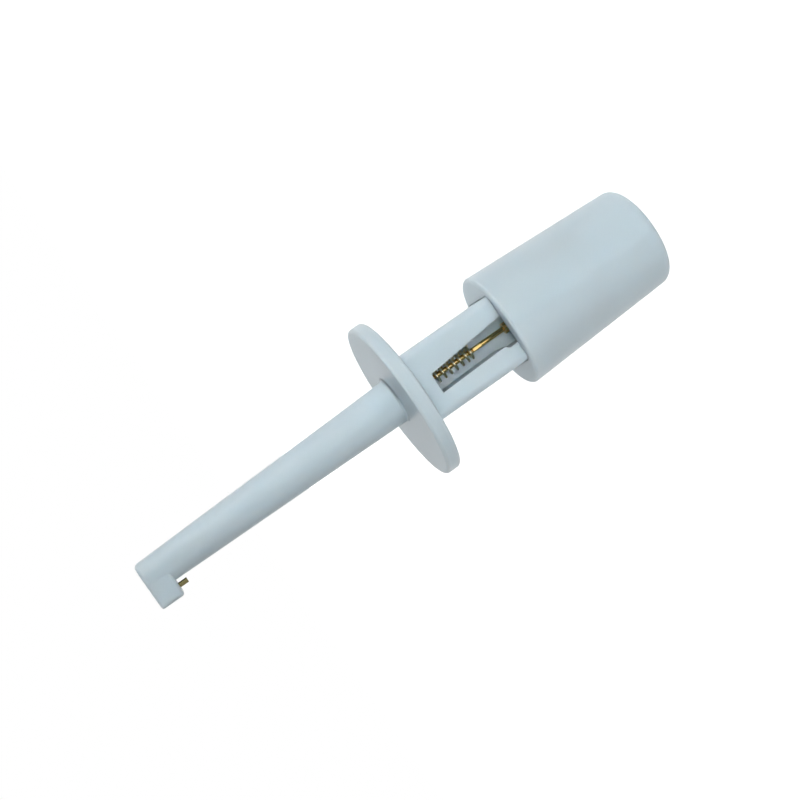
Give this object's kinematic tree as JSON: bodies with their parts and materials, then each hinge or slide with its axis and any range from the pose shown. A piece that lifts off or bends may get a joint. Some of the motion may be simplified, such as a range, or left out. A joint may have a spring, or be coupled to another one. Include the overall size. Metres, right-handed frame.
{
  "type": "ic test clip",
  "caption": "Spring-loaded test hook clip: a slotted barrel with finger flange and long nose, a sliding thumb cap, and a gold hook wire drawn into the nose's foot by a coil spring.",
  "frame": {"origin": "centre of the thumb cap's flat end face, which the clip stands on", "axes": "+Z along the clip's axis from the thumb cap to the nose's tip; the foot and the hook's short leg are on the -X side; the stem's slot opens towards -Y"},
  "size_m": [0.0162, 0.0162, 0.057],
  "materials": {
    "barrel_plastic": "glossy moulded white plastic with a faint blue cast",
    "cap_plastic": "glossy moulded white plastic with a faint blue cast",
    "gold_plate": "bright gold plating on drawn wire",
    "spring_wire": "gold-plated spring wire, dulled",
    "terminal_brass": "plated brass tube"
  },
  "bodies": {
    "barrel": {"barrel": "barrel_plastic", "return_spring": "spring_wire"},
    "plunger": {"thumb_cap": "cap_plastic", "solder_terminal": "terminal_brass", "hook_wire": "gold_plate"}
  },
  "joints": [
    {"name": "plunger_slide", "type": "slide", "parent": "barrel", "child": "plunger", "axis": [0, 0, 1], "range_m": [0, 0.0085], "stiffness_N_per_m": 150, "springref_m": -0.0067, "deforming": ["return_spring"]}
  ]
}
